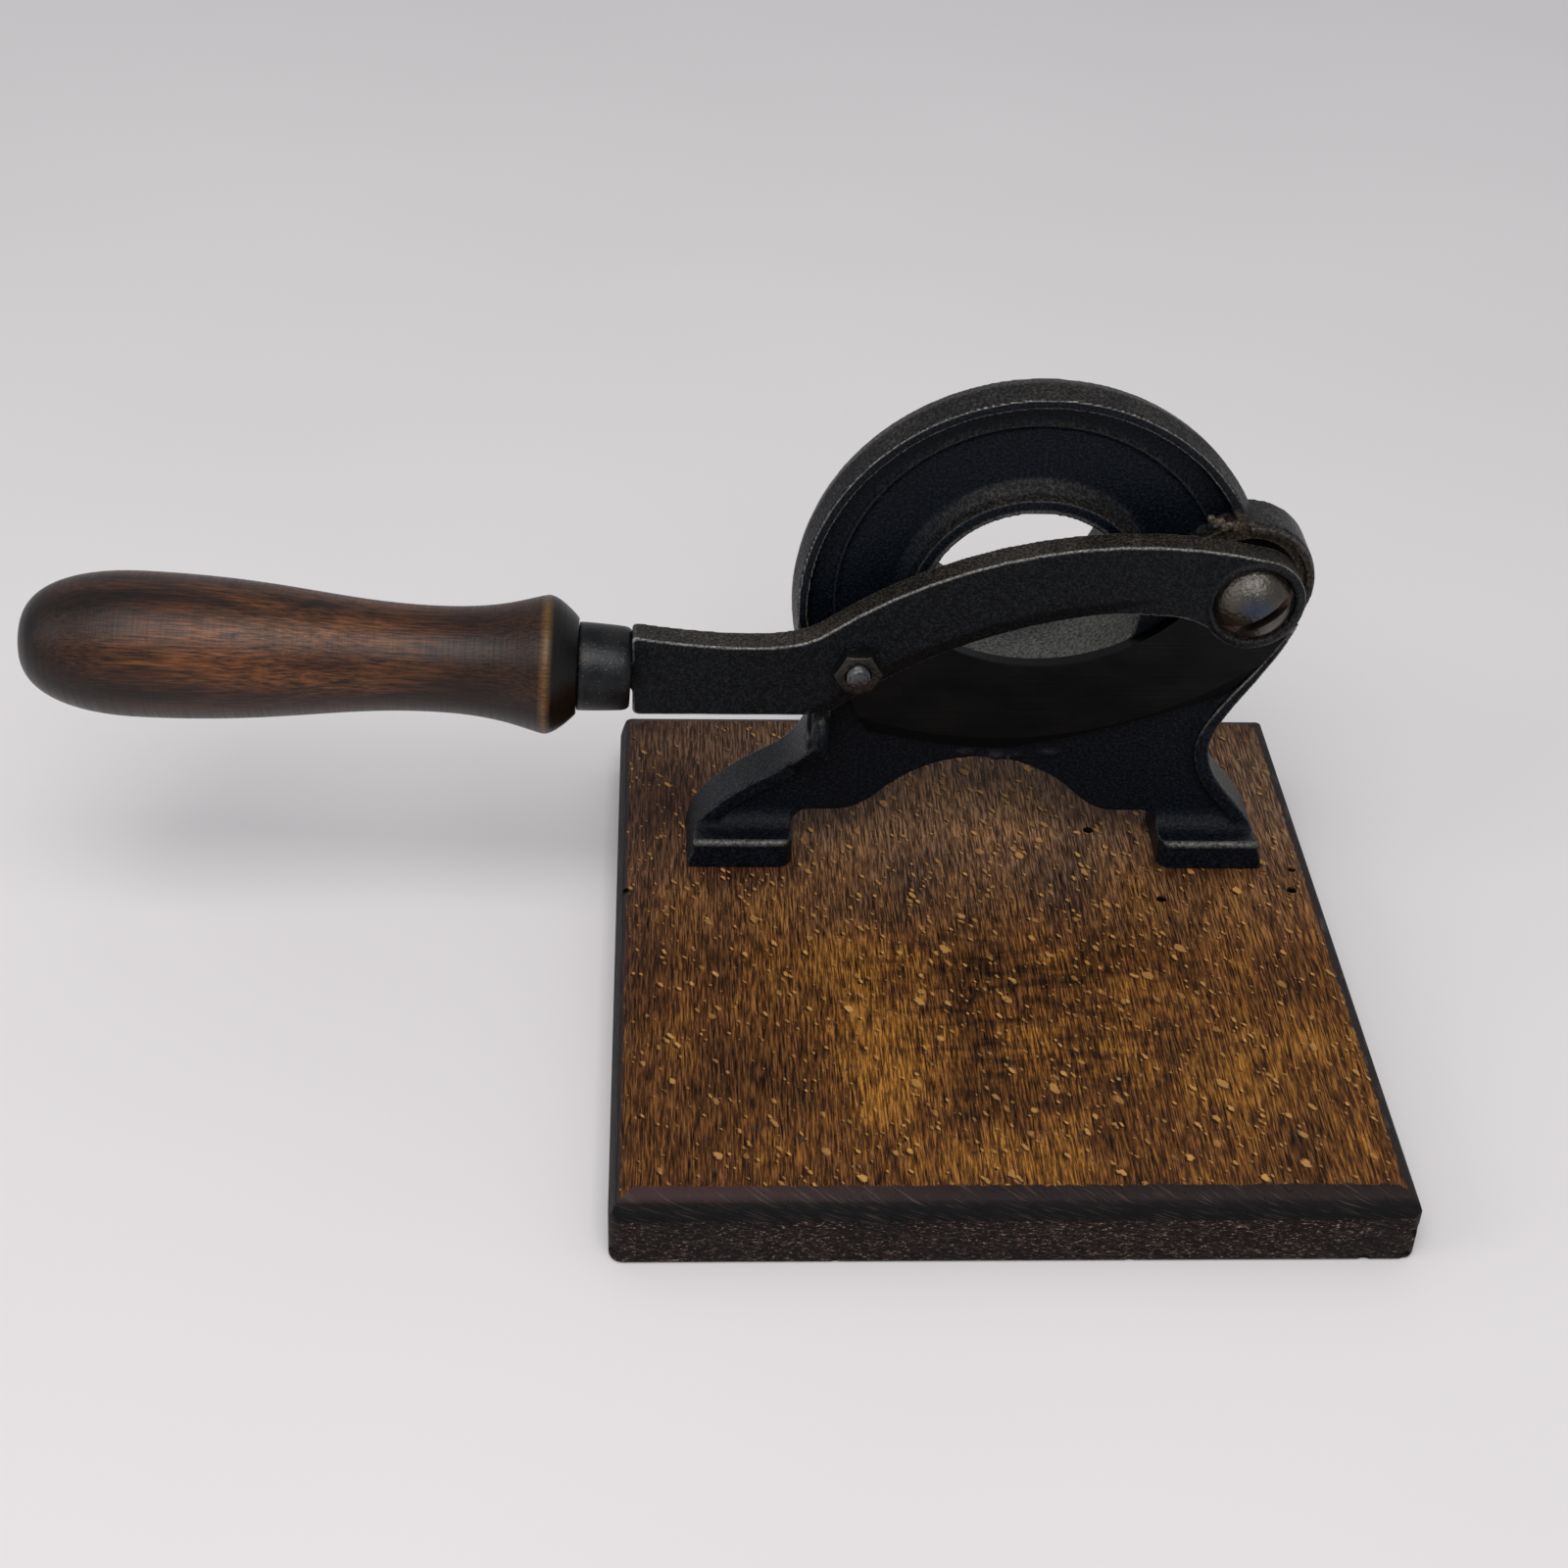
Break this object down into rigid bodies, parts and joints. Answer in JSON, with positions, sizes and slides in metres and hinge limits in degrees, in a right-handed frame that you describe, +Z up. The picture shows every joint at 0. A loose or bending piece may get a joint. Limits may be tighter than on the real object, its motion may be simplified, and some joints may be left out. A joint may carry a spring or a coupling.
{
  "type": "tobacco cutter",
  "caption": "Hand tobacco cutter: a wooden-handled lever swings a crescent blade across the feed hole of a cast iron stand on a wooden board.",
  "frame": {"origin": "centre of the board's flat underside, on the surface that the cutter stands on", "axes": "+X to the right, from the handle towards the pivot; +Y from the open front of the board to the back, along the feed hole; +Z up"},
  "size_m": [0.249, 0.145, 0.1151],
  "materials": {
    "board_wood": "stained and worn, grain from front to back",
    "casting_iron": "black cast skin, worn grey on edges and tops",
    "lever_iron": "black skin with a bright worn top edge",
    "blade_steel": "dark used steel with lengthways grinding marks",
    "screw_steel": "worn grey steel",
    "nut_steel": "dull steel with brown rust",
    "ferrule_steel": "dark polished tube",
    "grip_wood": "turned, red-brown stain polished by use"
  },
  "bodies": {
    "stand": {"base_board": "board_wood", "stand_casting": "casting_iron", "pivot_screw": "screw_steel", "pivot_washer": "screw_steel", "pivot_nut": "nut_steel", "foot_screws": "screw_steel", "foot_washers": "screw_steel"},
    "lever": {"lever_arm": "lever_iron", "blade": "blade_steel", "clamp_screw": "screw_steel", "clamp_nut": "nut_steel", "ferrule": "ferrule_steel", "handle_grip": "grip_wood"}
  },
  "joints": [
    {"name": "lever_pivot", "type": "hinge", "parent": "stand", "child": "lever", "pos_m": [0.0482, 0.0245, 0.0766], "axis": [0, 1, 0], "range_deg": [0, 80]}
  ]
}
